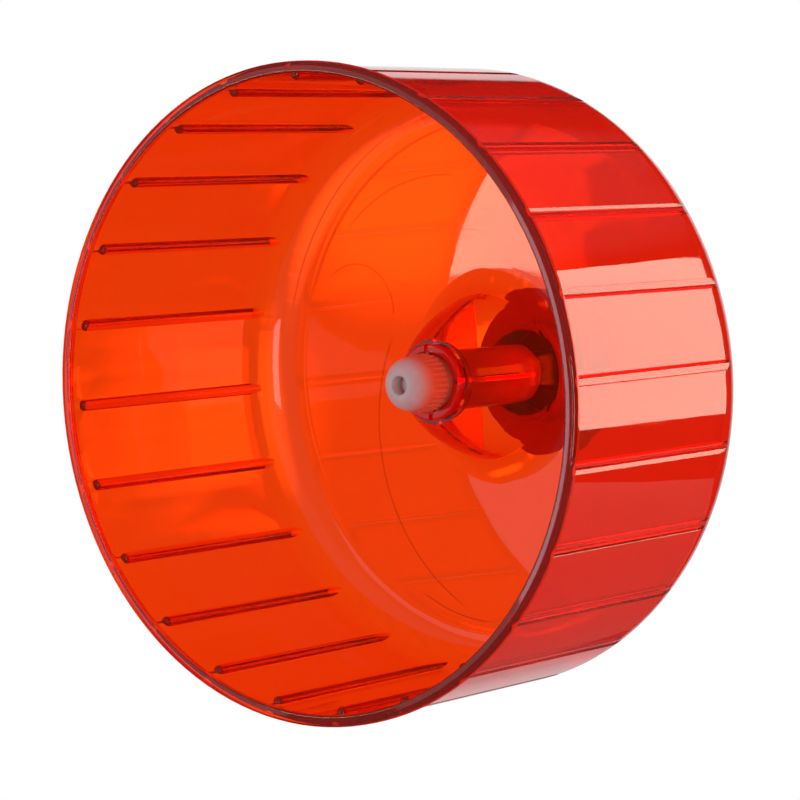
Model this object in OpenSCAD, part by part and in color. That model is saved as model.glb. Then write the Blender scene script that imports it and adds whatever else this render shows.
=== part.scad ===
// Wall-hung running wheel: a clear moulded drum that turns on a fixed steel pin.
// The wall plane is at y = 0, the wheel's open front faces -Y, +Z is up.
// Each piece is drawn along its own axis, with height measured forward from the wall.

/* [Drum] */
// Outside diameter of the rim
rim_d = 140; // [120:1:160]
// Depth of the drum from the rim's front face to its back face
drum_depth = 67; // [58:0.5:80]
// Thickness of the moulded wall, back and hub
wall_t = 1.7; // [1.4:0.1:2.2]
// How far the rim stands proud of the wall
rim_step = 0.8; // [0.4:0.1:1.6]
// Length of the rim flange along the axis
rim_l = 2.2; // [1.6:0.1:4]
// Rounding of the rim's front edges
rim_edge_r = 0.5; // [0.2:0.1:0.6]
// Slope of the rim's front face, back towards its outer edge
rim_slope = 6; // [2:1:12]
// Draft angle of the wall
draft = 2.1; // [1:0.1:3.5]
// Outside radius of the rounded back corner
corner_r = 11.5; // [10:0.5:12]
// Turn of the wheel about its axis at rest
wheel_turn = 5.3; // [-7:0.1:7]

/* [Rungs] */
// Number of rungs
rung_n = 24; // [12:1:30]
// Width of a half-round rung
rung_w = 2.5; // [2:0.1:2.8]
// Distance from the rim flange's back edge to a rung's round front end
rung_gap = 0.6; // [0.3:0.1:3]
// How far a rung's centre line stands in from the wall's skin at its front
rung_lift = 0.15; // [0.15:0.05:0.25]
// Angle at which a rung sinks into the wall towards the back
rung_dip = 0.3; // [0.2:0.1:0.4]
// How far a rung's flat underside lies inside the wall
rung_root = 0.3; // [0.2:0.1:0.4]
// How far a rung runs past the start of the back corner
rung_run = 4.6; // [4.4:0.1:4.8]
// Width of the shallow groove on the outside behind each rung
groove_w = 2.4; // [1.4:0.1:3]
// Depth of that groove
groove_d = 0.3; // [0.1:0.05:0.5]

/* [Hub] */
// Diameter where the hub's base blends into the back
hub_base_d = 48; // [44:0.5:60]
// Diameter of the hub's flat tip
hub_tip_d = 18.4; // [16.6:0.2:22]
// Height of the hub's tip above the drum's back face
hub_h = 24.8; // [20:0.2:34]
// Radius of the hub's domed outline
dome_r = 50; // [34:1:60]
// Slope of the dome at the tip, away from the axis
tip_slope = 38; // [30:1:40]
// Length of the socket that grips the sleeve behind the tip
socket_l = 3; // [3:0.5:9]
// Wall of that socket
socket_t = 1.5; // [1:0.1:2.5]
// Number of ribs inside the hub, one in each slot of the sleeve
rib_n = 4; // [3:1:6]
// Thickness of a rib
rib_t = 0.8; // [0.6:0.1:1.6]
// Distance from the drum's back face to the ribs' back edges
rib_setback = 9.5; // [8:0.5:11]
// Distance from the sleeve's bore out to the ribs' inner edges
rib_inset = 0.3; // [0.1:0.1:0.6]

/* [Sleeve] */
// Outside diameter of the sleeve
sleeve_d = 13; // [12:0.1:14]
// Bore of the sleeve
sleeve_bore = 10.4; // [9:0.1:10.8]
// How far the sleeve stands out of the drum's back
sleeve_tail = 4; // [2:0.25:5]
// Diameter of the ring at the sleeve's front end
ring_d = 16.6; // [15.6:0.1:18]
// Length of the ring along the axis
ring_l = 1.8; // [1.4:0.1:3]
// Diameter of the ring's open mouth
mouth_d = 13.6; // [12.8:0.1:14]
// Depth of the mouth
mouth_l = 1.4; // [0.8:0.1:1.4]
// Length of the uncut tube behind the slots
uncut_l = 7; // [5:0.5:12]

/* [Bushes] */
// Bore of both bushes
bush_bore = 4.1; // [4.1:0.01:4.18]
// Diameter of the nose's flat front
nose_tip_d = 6; // [5.2:0.1:7]
// Length over which the nose rounds off to that front
nose_round = 4.2; // [3:0.1:5]
// Length of the nose in front of the ring
nose_l = 10; // [9:0.5:14]
// Diameter of the nose behind its round front
nose_d = 11.8; // [11:0.1:12]
// Number of fine ribs round the nose
knurl_n = 30; // [16:1:31]
// Radius of a fine rib at its back end
knurl_r = 0.55; // [0.3:0.05:0.55]
// Length of a fine rib
knurl_l = 4.5; // [3:0.5:5]
// Distance from the ring forward to the fine ribs' back ends
knurl_gap = 1; // [0.5:0.1:1.3]
// Length of the nose's shank inside the sleeve
nose_shank_l = 8; // [5:0.5:12]
// Length of the back bush inside the sleeve
rear_shank_l = 8; // [5:0.5:12]
// Diameter of the back bush's flange
rear_flange_d = 12; // [11:0.1:12.8]
// Thickness of the back bush's flange
rear_flange_t = 1; // [0.6:0.1:1.4]

/* [Axle and base] */
// Diameter of the steel pin
pin_d = 4; // [3.9:0.01:4]
// Chamfer on the pin's front end
pin_chamfer = 0.4; // [0.2:0.1:0.8]
// Distance from the nose's flat front back to the pin's end
pin_recess = 2.6; // [1:0.1:5]
// Thickness of the base left behind the pin
pin_floor = 1.5; // [1:0.5:2]
// Free distance from the wall to the drum's back face
standoff = 17; // [15:0.5:24]
// Diameter of the base flange
flange_d = 36.5; // [35:0.5:50]
// Thickness of the base flange
flange_t = 3.5; // [2.5:0.5:6]
// Thickness of the floor inside the lip
floor_t = 2; // [2:0.1:3.5]
// Outside diameter of the base's lip
lip_d = 21.4; // [20:0.2:22]
// Wall of the lip
lip_t = 1.3; // [1:0.1:2]
// Height of the lip above the wall
lip_h = 11.2; // [8:0.2:12]
// Diameter of the post that holds the pin
post_d = 9; // [7:0.5:10]
// Number of screw holes in the flange
screw_n = 3; // [2:1:4]
// Diameter of a screw hole
screw_d = 3.4; // [2.4:0.1:3.6]
// Diameter of the circle of screw holes
screw_pcd = 29; // [28:0.1:30]
// Diameter of the thrust washer
washer_d = 9; // [7:0.5:11]
// Thickness of the thrust washer
washer_t = 0.8; // [0.5:0.1:1.2]
// Diameter of the retaining clip
clip_d = 7.6; // [6.5:0.1:8.6]
// Thickness of the retaining clip
clip_t = 0.7; // [0.5:0.1:1]
// Depth of the clip's groove in the pin
clip_groove = 0.4; // [0.3:0.05:0.6]
// How far each end of the clip's gap closes round the pin
clip_bite = 0.3; // [0.2:0.05:0.4]

/* [Fits] */
// Radial gap of a snap fit between two pieces that stay together
snap_gap = 0.05; // [0.02:0.01:0.1]
// Gap on each side of a rib in its slot
slot_gap = 0.15; // [0.1:0.05:0.2]
// End gap between a turning face and a fixed one
end_gap = 0.3; // [0.2:0.05:0.5]

/* [Hidden] */
$fn = 96;
// Overlap of a cutter past the face it cuts
eps = 1;
// Radius left at a pointed end
point_r = 0.1;

clear_red = "#e8320a";
deep_red = "#b81408";
nylon = "#d8d2cc";
steel = "#b9bcc0";

// Heights forward from the wall
drum_back = standoff;
tip_h = standoff + hub_h;
sleeve_back = standoff - sleeve_tail;
ring_front = tip_h + ring_l;
mouth_floor = ring_front - mouth_l;
nose_front = ring_front + nose_l;
pin_front = nose_front - pin_recess;
rear_flange_back = sleeve_back - rear_flange_t;
rear_bush_front = sleeve_back + rear_shank_l;
washer_back = rear_flange_back - end_gap - washer_t;
clip_back = rear_bush_front + end_gap;

// Drum outline, with height measured from the back face
wall_front_r = rim_d / 2 - rim_step;
function wall_r(h) = wall_front_r - (drum_depth - h) * tan(draft);
function skin_r(h) = wall_r(h) - wall_t / cos(draft);
corner_c = [wall_r(corner_r) - corner_r / cos(draft), corner_r];

// Hub outline: a dome arc that meets the back in a fillet tangent to both
hub_base_r = hub_base_d / 2;
dome_c = [hub_tip_d / 2 - dome_r * cos(tip_slope), hub_h - dome_r * sin(tip_slope)];
dome_dx = hub_base_r - dome_c[0];
dome_dh = wall_t - dome_c[1];
fillet_r = (dome_dx * dome_dx + dome_dh * dome_dh - dome_r * dome_r) / (2 * (dome_r - dome_dh));
fillet_c = [hub_base_r, wall_t + fillet_r];
tangent_u = (fillet_c - dome_c) / norm(fillet_c - dome_c);

// Nose outline: a straight flank, then an arc in to the flat front; heights start at the ring's front
flank_h = nose_l - nose_round;
round_drop = (nose_d - nose_tip_d) / 2;
round_r = (nose_round * nose_round + round_drop * round_drop) / (2 * round_drop);
round_x = nose_d / 2 - round_r;
function nose_r(h) = round_x + sqrt(round_r * round_r - pow(max(h - flank_h, 0), 2));

// Places a piece drawn along +Z on the wheel's axis, with its front towards -Y
module on_axis(turn = 0) {
    rotate([90, 0, 0]) rotate([0, 0, 90 + turn]) children();
}

// Repeats a piece n times round the axis
module round_axis(n) {
    for (i = [0 : n - 1])
        rotate([0, 0, 360 * i / n]) children();
}

// Ring of rectangular section between two radii and two heights
module ring(r0, r1, h0, h1) {
    translate([r0, h0]) square([r1 - r0, h1 - h0]);
}

// Space inside the drum's outside skin, drawn t in from that skin, up to the height top
module cup_section(t, top) {
    corner_end = corner_c + (corner_r - t) * [cos(draft), -sin(draft)];
    polygon([[0, corner_r], corner_c, corner_end, [wall_r(top) - t / cos(draft), top], [0, top]]);
    ring(0, corner_c[0], t, corner_r);
    translate(corner_c) circle(r = corner_r - t);
}

// Space under the hub's front skin, drawn t in from that skin
module hub_section(t) {
    meet = dome_c + (dome_r - t) * tangent_u;
    difference() {
        polygon([[0, -t], [hub_base_r, -t], fillet_c, meet, [0, meet[1]]]);
        translate(fillet_c) circle(r = fillet_r + t);
    }
    intersection() {
        translate(dome_c) circle(r = dome_r - t);
        ring(0, meet[0], meet[1], hub_h);
    }
}

// Rim flange with a sloping front face between two rounded edges
module rim_section() {
    outer = rim_d / 2;
    back = drum_depth - rim_l;
    edge = drum_depth - rim_edge_r;
    inner = skin_r(edge);
    edge_in = [inner + rim_edge_r, edge];
    edge_run = outer - rim_edge_r - edge_in[0];
    edge_out = edge_in + edge_run * [1, -tan(rim_slope)];
    rise = rim_edge_r * [sin(rim_slope), cos(rim_slope)];
    polygon([[skin_r(back), back], [outer, back], [outer, edge_out[1]], edge_out, edge_in, [inner, edge]]);
    polygon([edge_in, edge_in + rise, edge_out + rise, edge_out]);
    for (c = [edge_in, edge_out])
        translate(c) circle(r = rim_edge_r);
}

module drum_section() {
    difference() {
        union() {
            difference() {
                cup_section(0, drum_depth - rim_l);
                cup_section(wall_t, drum_depth);
            }
            rim_section();
            hub_section(0);
        }
        hub_section(wall_t);
        ring(0, sleeve_d / 2 + snap_gap, -eps, drum_depth);
    }
    socket_r = sleeve_d / 2 + snap_gap;
    ring(socket_r, socket_r + socket_t, hub_h - socket_l, hub_h);
}

// One rung on the wall's inside: the top of a bar with a round front end, that runs out in the back corner
module rung() {
    rung_r = rung_w / 2;
    front = drum_depth - rim_l - rung_gap - rung_r;
    length = front - corner_r + rung_run;
    translate([skin_r(front) - rung_lift, 0, front])
        rotate([0, 180 + draft - rung_dip, 0]) intersection() {
            rotate_extrude() {
                square([rung_r, length]);
                intersection() {
                    circle(r = rung_r);
                    translate([0, -rung_r]) square(rung_r);
                }
            }
            translate([-rung_lift - rung_root, -rung_w, -rung_w])
                cube([2 * rung_w, 2 * rung_w, length + 2 * rung_w]);
        }
}

// Cutter for the shallow groove on the wall's outside behind one rung
module groove() {
    cut_r = (groove_w * groove_w / 4 + groove_d * groove_d) / (2 * groove_d);
    front = drum_depth - rim_l;
    translate([wall_r(front) + (cut_r - groove_d) / cos(draft), 0, front])
        rotate([0, 180 + draft, 0])
            cylinder(r = cut_r, h = front - corner_r / 2);
}

// One rib between the hub's skin and the sleeve, with its inner edge in a slot of the sleeve
module hub_rib() {
    rotate([90, 0, 0]) linear_extrude(rib_t, center = true)
        intersection() {
            translate(dome_c) circle(r = dome_r - wall_t / 2);
            ring(sleeve_bore / 2 + rib_inset, hub_base_r, rib_setback, hub_h - socket_l + eps);
        }
}

module running_drum() {
    color(clear_red, 0.6) on_axis(wheel_turn) translate([0, 0, drum_back])
        difference() {
            union() {
                rotate_extrude() drum_section();
                round_axis(rung_n) rung();
                round_axis(rib_n) hub_rib();
            }
            round_axis(rung_n) groove();
        }
}

module hub_sleeve() {
    bore_r = sleeve_bore / 2;
    ring_r = ring_d / 2;
    edge = ring_front - rim_edge_r;
    slot_w = rib_t + 2 * slot_gap;
    slot_back = sleeve_back + uncut_l;
    color(deep_red, 0.7) on_axis(wheel_turn)
        difference() {
            rotate_extrude() difference() {
                union() {
                    ring(bore_r, sleeve_d / 2, sleeve_back, tip_h);
                    ring(bore_r, ring_r, tip_h, edge);
                    ring(bore_r, ring_r - rim_edge_r, tip_h, ring_front);
                    translate([ring_r - rim_edge_r, edge]) circle(r = rim_edge_r);
                }
                ring(0, mouth_d / 2, mouth_floor, ring_front + eps);
            }
            round_axis(rib_n)
                translate([0, -slot_w / 2, slot_back]) cube([ring_d, slot_w, ring_front - slot_back + eps]);
        }
}

// Nose outline: flat tip, a round front, a straight flank that starts in the ring's mouth, and a shank
module nose_section() {
    bore_r = bush_bore / 2;
    head_back = mouth_floor + snap_gap;
    flank_front = ring_front + flank_h;
    intersection() {
        translate([round_x, flank_front]) circle(r = round_r);
        ring(bore_r, nose_d, flank_front, nose_front);
    }
    ring(bore_r, nose_d / 2, head_back, flank_front);
    ring(bore_r, sleeve_bore / 2 - snap_gap, mouth_floor - nose_shank_l, head_back);
}

module nose_bush() {
    back_r = nose_r(knurl_gap);
    lean = atan((back_r - nose_r(knurl_gap + knurl_l)) / knurl_l);
    color(nylon) on_axis(wheel_turn) {
        rotate_extrude() nose_section();
        round_axis(knurl_n)
            translate([back_r, 0, ring_front + knurl_gap])
                rotate([0, -lean, 0]) cylinder(r1 = knurl_r, r2 = point_r, h = knurl_l);
    }
}

module rear_bush() {
    color(nylon) on_axis() rotate_extrude() {
        ring(bush_bore / 2, rear_flange_d / 2, rear_flange_back, sleeve_back);
        ring(bush_bore / 2, sleeve_bore / 2 - snap_gap, sleeve_back - rear_flange_t / 2, rear_bush_front);
    }
}

module axle_pin() {
    pin_r = pin_d / 2;
    color(steel) on_axis() rotate_extrude() difference() {
        polygon([[0, pin_floor], [pin_r, pin_floor], [pin_r, pin_front - pin_chamfer],
                 [pin_r - pin_chamfer, pin_front], [0, pin_front]]);
        ring(pin_r - clip_groove, pin_d, clip_back - snap_gap, clip_back + clip_t + snap_gap);
    }
}

module retaining_clip() {
    gap = pin_d - 2 * (clip_groove + clip_bite);
    color(steel) on_axis() translate([0, 0, clip_back])
        difference() {
            rotate_extrude() ring(pin_d / 2 - clip_groove + snap_gap, clip_d / 2, 0, clip_t);
            translate([-clip_d, -gap / 2, -eps]) cube([clip_d, gap, clip_t + 2 * eps]);
        }
}

module thrust_washer() {
    color(steel) on_axis() rotate_extrude()
        ring(pin_d / 2 + snap_gap, washer_d / 2, washer_back, washer_back + washer_t);
}

module mount_base() {
    lip_r = lip_d / 2;
    round_r = lip_t / 2;
    color(deep_red, 0.85) on_axis() difference() {
        rotate_extrude() {
            ring(0, lip_r, 0, floor_t);
            ring(lip_r - lip_t, flange_d / 2, 0, flange_t);
            ring(lip_r - lip_t, lip_r, flange_t, lip_h - round_r);
            translate([lip_r - round_r, lip_h - round_r]) circle(r = round_r);
            ring(0, post_d / 2, floor_t, washer_back);
        }
        translate([0, 0, pin_floor]) cylinder(d = pin_d, h = washer_back);
        round_axis(screw_n)
            translate([screw_pcd / 2, 0, -eps]) cylinder(d = screw_d, h = flange_t + 2 * eps);
    }
}

running_drum();
hub_sleeve();
nose_bush();
rear_bush();
axle_pin();
retaining_clip();
thrust_washer();
mount_base();
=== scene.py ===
import math

import bpy
from mathutils import Matrix, Vector

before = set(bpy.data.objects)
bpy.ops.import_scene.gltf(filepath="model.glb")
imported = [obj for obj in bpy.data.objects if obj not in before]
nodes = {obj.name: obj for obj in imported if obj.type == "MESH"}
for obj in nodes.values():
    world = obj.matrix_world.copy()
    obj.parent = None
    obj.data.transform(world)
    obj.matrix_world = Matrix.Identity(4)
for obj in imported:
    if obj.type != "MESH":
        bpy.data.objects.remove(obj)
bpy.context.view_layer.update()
bpy.ops.object.select_all(action="DESELECT")

MM = 0.001


# Shader trees as Python expressions

# The Mix node's sockets for colours
MIX_SHARE, MIX_FIRST, MIX_SECOND, MIX_RESULT = 0, 6, 7, 2


class Value:
    """One shader socket. Operators on it add Math nodes to its tree."""

    def __init__(self, tree, socket):
        self.tree = tree
        self.socket = socket

    def _math(self, operation, *values):
        return self.tree.node("ShaderNodeMath", {"operation": operation}, dict(enumerate(values)))

    def __add__(self, other):
        return self._math("ADD", self, other)

    def __radd__(self, other):
        return self._math("ADD", other, self)

    def __sub__(self, other):
        return self._math("SUBTRACT", self, other)

    def __rsub__(self, other):
        return self._math("SUBTRACT", other, self)

    def __mul__(self, other):
        return self._math("MULTIPLY", self, other)

    def __rmul__(self, other):
        return self._math("MULTIPLY", other, self)

    def __truediv__(self, other):
        return self._math("DIVIDE", self, other)

    def __pow__(self, other):
        return self._math("POWER", self, other)

    def smaller(self, other):
        return self._math("MINIMUM", self, other)

    def larger(self, other):
        return self._math("MAXIMUM", self, other)

    def step(self, low, high):
        """0 below low, 1 above high, smooth between them."""
        return self.tree.node("ShaderNodeMapRange", {"interpolation_type": "SMOOTHSTEP"},
                              {"Value": self, "From Min": low, "From Max": high})

    def ramp(self, start, length):
        """0 below start, 1 from a length further on, straight between them."""
        return ((self - start) / length).larger(0.0).smaller(1.0)


class Tree:
    """A node tree that is filled by calls and expressions."""

    def __init__(self, holder):
        holder.use_nodes = True
        self.nodes = holder.node_tree.nodes
        self.links = holder.node_tree.links
        self.nodes.clear()

    def node(self, kind, settings=None, inputs=None, out=0):
        """Adds a node, sets it up, feeds its sockets, and returns one of its outputs."""
        made = self.nodes.new(kind)
        for name, setting in (settings or {}).items():
            setattr(made, name, setting)
        for name, fed in (inputs or {}).items():
            if isinstance(fed, Value):
                self.links.new(fed.socket, made.inputs[name])
            else:
                made.inputs[name].default_value = fed
        return Value(self, made.outputs[out]) if made.outputs else made

    def place(self):
        """The point on the piece, in metres in the part's frame."""
        return self.node("ShaderNodeTexCoord", out="Object")

    def noise(self, scale, detail=2.0, roughness=0.5):
        """Smooth noise from 0 to 1, scale features to the metre."""
        return self.node("ShaderNodeTexNoise", None,
                         {"Vector": self.place(), "Scale": scale, "Detail": detail, "Roughness": roughness})

    def parts(self, vector):
        """The x, y and z of a vector."""
        split = self.node("ShaderNodeSeparateXYZ", None, {"Vector": vector})
        sockets = split.socket.node.outputs
        return [Value(self, sockets[axis]) for axis in "XYZ"]

    def place_mm(self):
        """The x, y and z of the point on the piece, in millimetres."""
        return [part / MM for part in self.parts(self.place())]

    def mix(self, share, first, second):
        """A colour share of the way from the first to the second."""
        return self.node("ShaderNodeMix", {"data_type": "RGBA"},
                         {MIX_SHARE: share, MIX_FIRST: first, MIX_SECOND: second}, MIX_RESULT)

    def seen_by(self):
        """Two values, 1 for the camera's rays and 1 for rays that go through clear plastic."""
        path = self.node("ShaderNodeLightPath").socket.node.outputs
        return Value(self, path["Is Camera Ray"]), Value(self, path["Is Transmission Ray"])


def rgb(red, green, blue):
    return (red, green, blue, 1.0)


# Finishes

WHITE = rgb(1.0, 1.0, 1.0)
# Dark red of the painted reflection arcs on the drum's disc
REFLECTED_LINE_RED = rgb(0.25, 0.01, 0.0)
NYLON_PALE, NYLON_DULL = rgb(0.90, 0.86, 0.87), rgb(0.84, 0.79, 0.80)
# Orange-red painted light on the nylon nose near the ring
NYLON_PAINTED_RED_LIGHT = rgb(0.97, 0.36, 0.21)
STEEL_PALE, STEEL_DULL = rgb(0.62, 0.62, 0.63), rgb(0.5, 0.5, 0.51)
BASE_BRIGHT, BASE_DULL = rgb(0.98, 0.022, 0.012), rgb(0.91, 0.016, 0.009)
# Near-black painted shade for the deep cup inside the base's lip
CUP_PAINTED_SHADE = rgb(0.004, 0.0005, 0.0003)

HAIRLINE_STRETCH = (1.0, 14.0, 14.0)
HAIRLINE_WIDTH = 0.012

# Places in millimetres, Y along the wheel's axis and R out from it. Pairs are where a mask starts and ends.
DRUM_BACK_Y = (-18.2, -18.0)
CORNER_START_R = (55.4, 56.0)
RIM_FRONT_Y, RIM_SIDE_L = -83.7, 1.9
BEHIND_RIM_Y = (-81.80, -81.76)
RIM_SIDE_R = (69.3, 69.6)
RIM_ROUND_R, RIM_ROUND_W = 68.8, 1.2
RIM_SIDE_RISE, RIM_FACE_DROP = 0.85, 0.48
# Where the painted red light on the nose starts and where it is full
NOSE_RED_LIGHT_Y = (-53.0, -48.0)
CUP_R = (9.5, 9.8)
CUP_FLOOR_Y = (-1.9, -1.5)

# Square of the distance in millimetres from a painted reflection arc's middle, where it starts and ends to fade
REFLECTED_LINE_FADE = (0.004, 0.04)


def scratches(tree, scale, angle):
    """Fine hairlines that run mostly one way, 0 between them and 1 on them."""
    turned = tree.node("ShaderNodeMapping", None, {
        "Vector": tree.place(), "Rotation": (angle, 0.4 * angle, 0.7 * angle), "Scale": HAIRLINE_STRETCH})
    cells = tree.node("ShaderNodeTexVoronoi", {"feature": "DISTANCE_TO_EDGE"}, {"Vector": turned, "Scale": scale})
    return 1.0 - cells.step(0.0, HAIRLINE_WIDTH)


def drum_marks(tree):
    """Marks on the drum: thin dark arcs of painted reflection on the front of its back, the edge where its rounded
    corner starts, and the height in millimetres by which a rounder rim differs from the flat one."""
    x, y, z = tree.place_mm()
    radius = (x * x + z * z) ** 0.5
    front = 1.0 - y.step(*DRUM_BACK_Y)

    def arc(centre_x, centre_z, arc_radius):
        off = ((x - centre_x) ** 2.0 + (z - centre_z) ** 2.0) ** 0.5 - arc_radius
        return 1.0 - (off * off).step(*REFLECTED_LINE_FADE)

    # Painted reflections: thin dark red arcs on the disc where reflected lines of the drum fall
    lines = arc(-40.3, 12.3, 10.4) * z.step(11.5, 12.5) * x.step(-49.0, -46.0)
    for line in (arc(11.2, -11.4, 45.2) * (1.0 - x.step(-14.0, -8.0)) * (1.0 - z.step(4.0, 8.0)),
                 arc(-14.2, 5.0, 38.4) * (1.0 - x.step(-15.0, -12.0)) * z.step(29.0, 33.0),
                 arc(-2.0, -16.2, 38.4) * (1.0 - x.step(-5.0, -2.0)) * (1.0 - z.step(-51.0, -49.0))):
        lines = lines.larger(line)
    edge = radius.step(*CORNER_START_R)
    outward = radius.ramp(RIM_ROUND_R, RIM_ROUND_W) * (1.0 - y.step(*BEHIND_RIM_Y))
    backward = y.ramp(RIM_FRONT_Y, RIM_SIDE_L)
    side = RIM_SIDE_RISE * backward * (2.0 - backward) * radius.step(*RIM_SIDE_R)
    return lines * front, edge * front, side - RIM_FACE_DROP * outward * outward


def clear_plastic(name, absorb, density, haze, clear, body, marks=None):
    """Clear coloured moulding: its colour comes from the depth of plastic that light crosses.

    Where clear is under 1, the rest of the light scatters in the plastic's own body colour."""
    material = bpy.data.materials.new(name)
    tree = Tree(material)
    lines, edge, rim_round = marks(tree) if marks else (0.0, 0.0, 0.0)
    flow = tree.noise(38.0, 2.0)
    grain = tree.noise(1400.0, 3.0, 0.6)
    cloud = tree.noise(60.0, 4.0, 0.6)
    wear = scratches(tree, 55.0, 0.6).larger(scratches(tree, 40.0, 2.1)) * cloud.step(0.5, 0.75)
    roughness = haze + 0.035 * cloud.step(0.45, 0.8) + 0.10 * wear
    bump = tree.node("ShaderNodeBump", None, {
        "Strength": 0.12, "Distance": 0.0004, "Height": flow + 0.012 * grain - 0.02 * wear + 0.5 * edge})
    if marks:
        bump = tree.node("ShaderNodeBump", None, {
            "Strength": 1.0, "Distance": MM, "Height": rim_round, "Normal": bump})
    plain = tree.mix(cloud.step(0.3, 0.8), rgb(*body), rgb(*(0.98 * part for part in body)))
    surface = tree.node("ShaderNodeBsdfPrincipled", None, {
        # The base colour darkens along the painted reflection arcs
        "Base Color": tree.mix(0.75 * lines, plain, REFLECTED_LINE_RED),
        "Roughness": roughness, "IOR": 1.55, "Transmission Weight": clear, "Normal": bump})
    depth = tree.node("ShaderNodeVolumeAbsorption", None, {"Color": absorb, "Density": density})
    tree.node("ShaderNodeOutputMaterial", None, {"Surface": surface, "Volume": depth})
    return material


def nylon_finish():
    """Natural nylon with a dull moulded skin, and orange-red painted light toward the red ring that holds it."""
    material = bpy.data.materials.new("natural_nylon")
    tree = Tree(material)
    cloud = tree.noise(420.0, 3.0)
    grain = tree.noise(5200.0, 2.0)
    clean = tree.mix(cloud.step(0.35, 0.75), NYLON_PALE, NYLON_DULL)
    y = tree.parts(tree.place())[1] / MM
    # Painted light: the nose turns orange-red toward the ring, standing in for red light that comes through the
    # plastic round it
    colour = tree.mix(y.step(*NOSE_RED_LIGHT_Y), clean, NYLON_PAINTED_RED_LIGHT)
    bump = tree.node("ShaderNodeBump", None, {"Strength": 0.2, "Distance": 0.0001, "Height": grain + 0.4 * cloud})
    surface = tree.node("ShaderNodeBsdfPrincipled", None, {
        "Base Color": colour, "Roughness": 0.42 + 0.14 * cloud, "Subsurface Weight": 1.0,
        "Subsurface Radius": (1.0, 0.7, 0.6), "Subsurface Scale": 0.003, "IOR": 1.53, "Normal": bump})
    tree.node("ShaderNodeOutputMaterial", None, {"Surface": surface})
    return material


def steel_finish():
    """Ground steel with turned rings along the pin's axis."""
    material = bpy.data.materials.new("ground_steel")
    tree = Tree(material)
    along = tree.parts(tree.place())[1]
    rings = tree.node("ShaderNodeTexNoise", {"noise_dimensions": "1D"},
                      {"W": along, "Scale": 9000.0, "Detail": 3.0})
    patches = tree.noise(700.0, 3.0)
    bump = tree.node("ShaderNodeBump", None, {"Strength": 0.15, "Distance": 0.00005, "Height": rings})
    surface = tree.node("ShaderNodeBsdfPrincipled", None, {
        "Base Color": tree.mix(patches, STEEL_PALE, STEEL_DULL), "Metallic": 1.0,
        "Roughness": 0.24 + 0.16 * patches + 0.1 * rings, "Normal": bump})
    tree.node("ShaderNodeOutputMaterial", None, {"Surface": surface})
    return material


def base_finish():
    """Red solid plastic with a glossy moulded skin, near black with painted shade inside the lip."""
    material = bpy.data.materials.new("deep_red_moulding")
    tree = Tree(material)
    cloud = tree.noise(160.0, 3.0)
    grain = tree.noise(2600.0, 2.0)
    bump = tree.node("ShaderNodeBump", None, {"Strength": 0.15, "Distance": 0.0001, "Height": grain})
    x, y, z = tree.place_mm()
    # Painted shade: inside the lip, below the cup's rim, the colour goes near black where the deep recess lies in
    # shade
    outside = ((x * x + z * z) ** 0.5 + 0.4 * cloud).step(*CUP_R)
    painted_cup_shade = (1.0 - outside) * (1.0 - y.step(*CUP_FLOOR_Y))
    moulded = tree.mix(cloud, BASE_BRIGHT, BASE_DULL)
    surface = tree.node("ShaderNodeBsdfPrincipled", None, {
        "Base Color": tree.mix(painted_cup_shade, moulded, CUP_PAINTED_SHADE),
        "Roughness": 0.22 + 0.16 * cloud, "IOR": 1.5, "Normal": bump})
    tree.node("ShaderNodeOutputMaterial", None, {"Surface": surface})
    return material


orange = clear_plastic("clear_orange_moulding", absorb=rgb(0.9975, 0.53, 0.0), density=2000.0, haze=0.012,
                       clear=0.95, body=(0.93, 0.30, 0.08), marks=drum_marks)
red = clear_plastic("clear_red_moulding", absorb=rgb(0.995, 0.30, 0.0), density=3600.0, haze=0.02,
                    clear=0.06, body=(0.99, 0.010, 0.004))
nylon = nylon_finish()
steel = steel_finish()
FINISHES = {"running_drum": orange, "hub_sleeve": red, "nose_bush": nylon, "rear_bush": nylon,
            "axle_pin": steel, "retaining_clip": steel, "thrust_washer": steel, "mount_base": base_finish()}
for name, finish in FINISHES.items():
    nodes[name].material_slots[0].material = finish


# Studio

FLOOR_Z = -0.30
FLOOR_R = 0.60
FLOOR_FADE = 0.10
FLOOR_MIDDLE = (0.40, 0.02)
FLOOR_GREY = rgb(0.36, 0.36, 0.36)
FLOOR_WHITE_SHARE = 0.75

# Directions in the room, as shares of X and Y: to the backdrop, and along it to the right and up
TO_BACKDROP = (-0.60, 0.80)
BACKDROP_RIGHT = (0.777, 0.630)
BACKDROP_UP = (-0.055, 0.068)
FRONT_TINT = rgb(0.95, 0.88, 1.0)

WHEEL_MIDDLE = Vector((0.0, -0.05, 0.0))
CAMERA_PLACE = Vector((0.7427, -0.9692, 0.1006))
CLEAR_BOUNCES = 48


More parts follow.
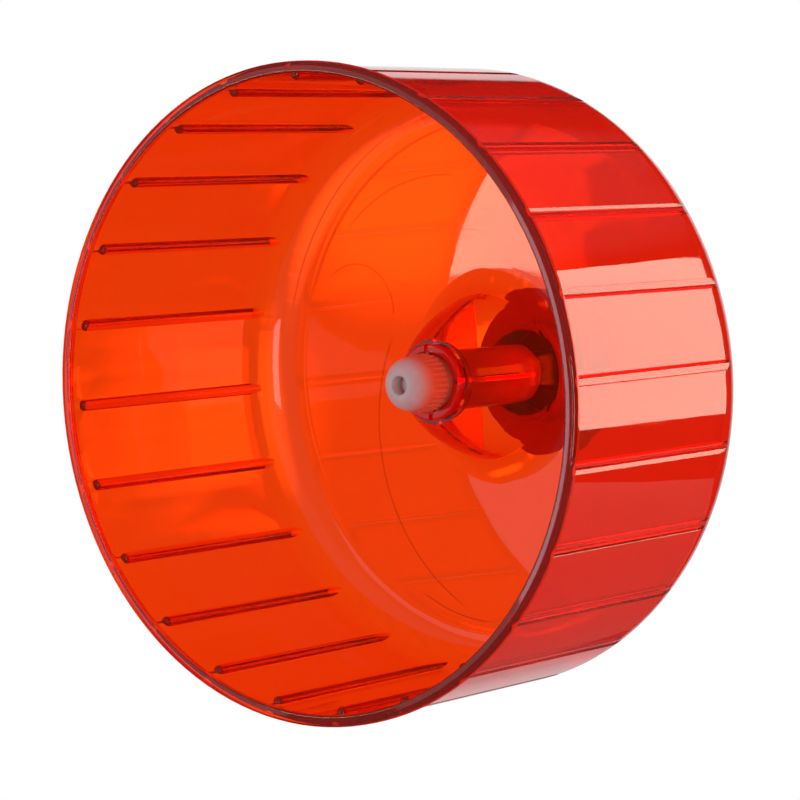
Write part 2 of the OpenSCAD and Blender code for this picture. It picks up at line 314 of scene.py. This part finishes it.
def studio_floor():
    """Pale round table below the wheel. Past its edge the camera and the clear plastic see plain white."""
    bpy.ops.mesh.primitive_circle_add(vertices=96, radius=FLOOR_R, fill_type="NGON",
                                      location=(*FLOOR_MIDDLE, FLOOR_Z))
    floor = bpy.context.object
    floor.name = "studio_floor"
    material = bpy.data.materials.new("white_table")
    tree = Tree(material)
    x, y, _ = tree.parts(tree.node("ShaderNodeNewGeometry", out="Position"))
    out_from_middle = ((x - FLOOR_MIDDLE[0]) ** 2.0 + (y - FLOOR_MIDDLE[1]) ** 2.0) ** 0.5
    far = out_from_middle.step(FLOOR_R - FLOOR_FADE, FLOOR_R)
    camera, through_plastic = tree.seen_by()
    seen = camera.larger(through_plastic)
    lit = tree.node("ShaderNodeBsdfDiffuse", None, {"Color": FLOOR_GREY})
    white = tree.node("ShaderNodeEmission", None, {"Color": WHITE, "Strength": 1.0})
    whiteness = seen * (FLOOR_WHITE_SHARE + (1.0 - FLOOR_WHITE_SHARE) * far)
    shader = tree.node("ShaderNodeMixShader", None, {0: whiteness, 1: lit, 2: white})
    tree.node("ShaderNodeOutputMaterial", None, {"Surface": shader})
    floor.data.materials.append(material)


def studio_world():
    """Dim room, paler in front, with a white backdrop and a ceiling panel.

    The camera and the clear plastic see white all round, and the plastic sees two brighter spots on the backdrop."""
    world = bpy.data.worlds.new("studio")
    bpy.context.scene.world = world
    tree = Tree(world)
    x, y, z = tree.parts(tree.node("ShaderNodeTexCoord", out="Generated"))
    behind = (x * TO_BACKDROP[0] + y * TO_BACKDROP[1]).step(0.80, 0.92)
    backdrop = (0.65 + 0.28 * z.step(-0.10, 0.05)) * behind * (1.0 - z.step(0.27, 0.30))
    ceiling = 0.10 * (z + 0.42 * x.larger(0.07)).step(0.555, 0.585)
    front = (-1.0 * y).step(0.15, 0.60)
    room = (0.015 + ceiling + 0.14 * front).larger(backdrop)
    across = x * BACKDROP_RIGHT[0] + y * BACKDROP_RIGHT[1]
    upward = z + x * BACKDROP_UP[0] + y * BACKDROP_UP[1]

    def spot(right, up, reach):
        return 1.0 - ((across - right) ** 2.0 + (upward - up) ** 2.0).step(0.0, reach * reach)

    spots = 1.1 * spot(right=-0.001, up=0.037, reach=0.026) + 0.7 * spot(right=-0.036, up=-0.003, reach=0.026)
    lit_paper = 0.95 + behind * spots
    camera, through_plastic = tree.seen_by()
    seen = camera.larger(lit_paper * through_plastic)
    tint = tree.mix(front * (1.0 - seen.smaller(1.0)), WHITE, FRONT_TINT)
    sky = tree.node("ShaderNodeBackground", None, {"Color": tint, "Strength": room.larger(seen)})
    tree.node("ShaderNodeOutputWorld", None, {"Surface": sky})


def softbox(name, azimuth, distance, left, right, low, high, radiance, tint):
    """An upright lamp panel, turned to the wheel, with its edges measured in metres from the wheel's middle.

    Azimuth 0 is in front of the wheel and 90 on its +X side. Left and right are for someone there who faces it."""
    angle = math.radians(azimuth)
    away = Vector((math.sin(angle), -math.cos(angle), 0.0))
    across = Vector((math.cos(angle), math.sin(angle), 0.0))
    lamp = bpy.data.lights.new(name, "AREA")
    lamp.shape = "RECTANGLE"
    lamp.size = right - left
    lamp.size_y = high - low
    lamp.color = tint
    lamp.energy = radiance * math.pi * lamp.size * lamp.size_y
    holder = bpy.data.objects.new(name, lamp)
    bpy.context.scene.collection.objects.link(holder)
    height = Vector((0.0, 0.0, (low + high) / 2))
    holder.location = WHEEL_MIDDLE + height + away * distance + across * (left + right) / 2
    holder.rotation_euler = (-away).to_track_quat("-Z", "Y").to_euler()
    holder.visible_camera = False


def photo_camera():
    """The photo's viewpoint, worked out from its rim, back edge, rungs and hub circles."""
    right = Vector((0.77674, 0.62982, 0.0))
    up = Vector((-0.05518, 0.06805, 0.99615))
    back = Vector((0.62740, -0.77375, 0.08761))
    data = bpy.data.cameras.new("photo_camera")
    data.sensor_width = 36.0
    data.lens = 249.14
    data.clip_end = 50.0
    camera = bpy.data.objects.new("photo_camera", data)
    bpy.context.scene.collection.objects.link(camera)
    turn = Matrix((right, up, back)).transposed().to_4x4()
    camera.matrix_world = Matrix.Translation(CAMERA_PLACE) @ turn
    bpy.context.scene.camera = camera


studio_floor()
studio_world()
softbox("side_softbox", azimuth=133.0, distance=1.2, left=-0.62, right=0.47, low=-0.19, high=0.56,
        radiance=4.5, tint=(1.0, 0.95, 0.74))
softbox("front_softbox", azimuth=-39.0, distance=1.4, left=-0.075, right=0.045, low=-0.07, high=0.20,
        radiance=4.6, tint=(1.0, 0.93, 0.68))
softbox("front_glow", azimuth=-39.0, distance=1.42, left=-0.65, right=0.65, low=-0.50, high=0.60,
        radiance=0.6, tint=(1.0, 0.89, 0.93))
softbox("rim_light", azimuth=-27.0, distance=1.4, left=0.03, right=0.21, low=-0.45, high=0.15,
        radiance=2.5, tint=(1.0, 0.85, 1.0))
softbox("camera_fill", azimuth=41.0, distance=1.4, left=-0.20, right=0.20, low=-0.38, high=0.17,
        radiance=2.8, tint=(1.0, 0.93, 0.90))
photo_camera()
scene = bpy.context.scene
scene.view_settings.view_transform = "Standard"
scene.cycles.max_bounces = CLEAR_BOUNCES
scene.cycles.glossy_bounces = CLEAR_BOUNCES
scene.cycles.transmission_bounces = CLEAR_BOUNCES
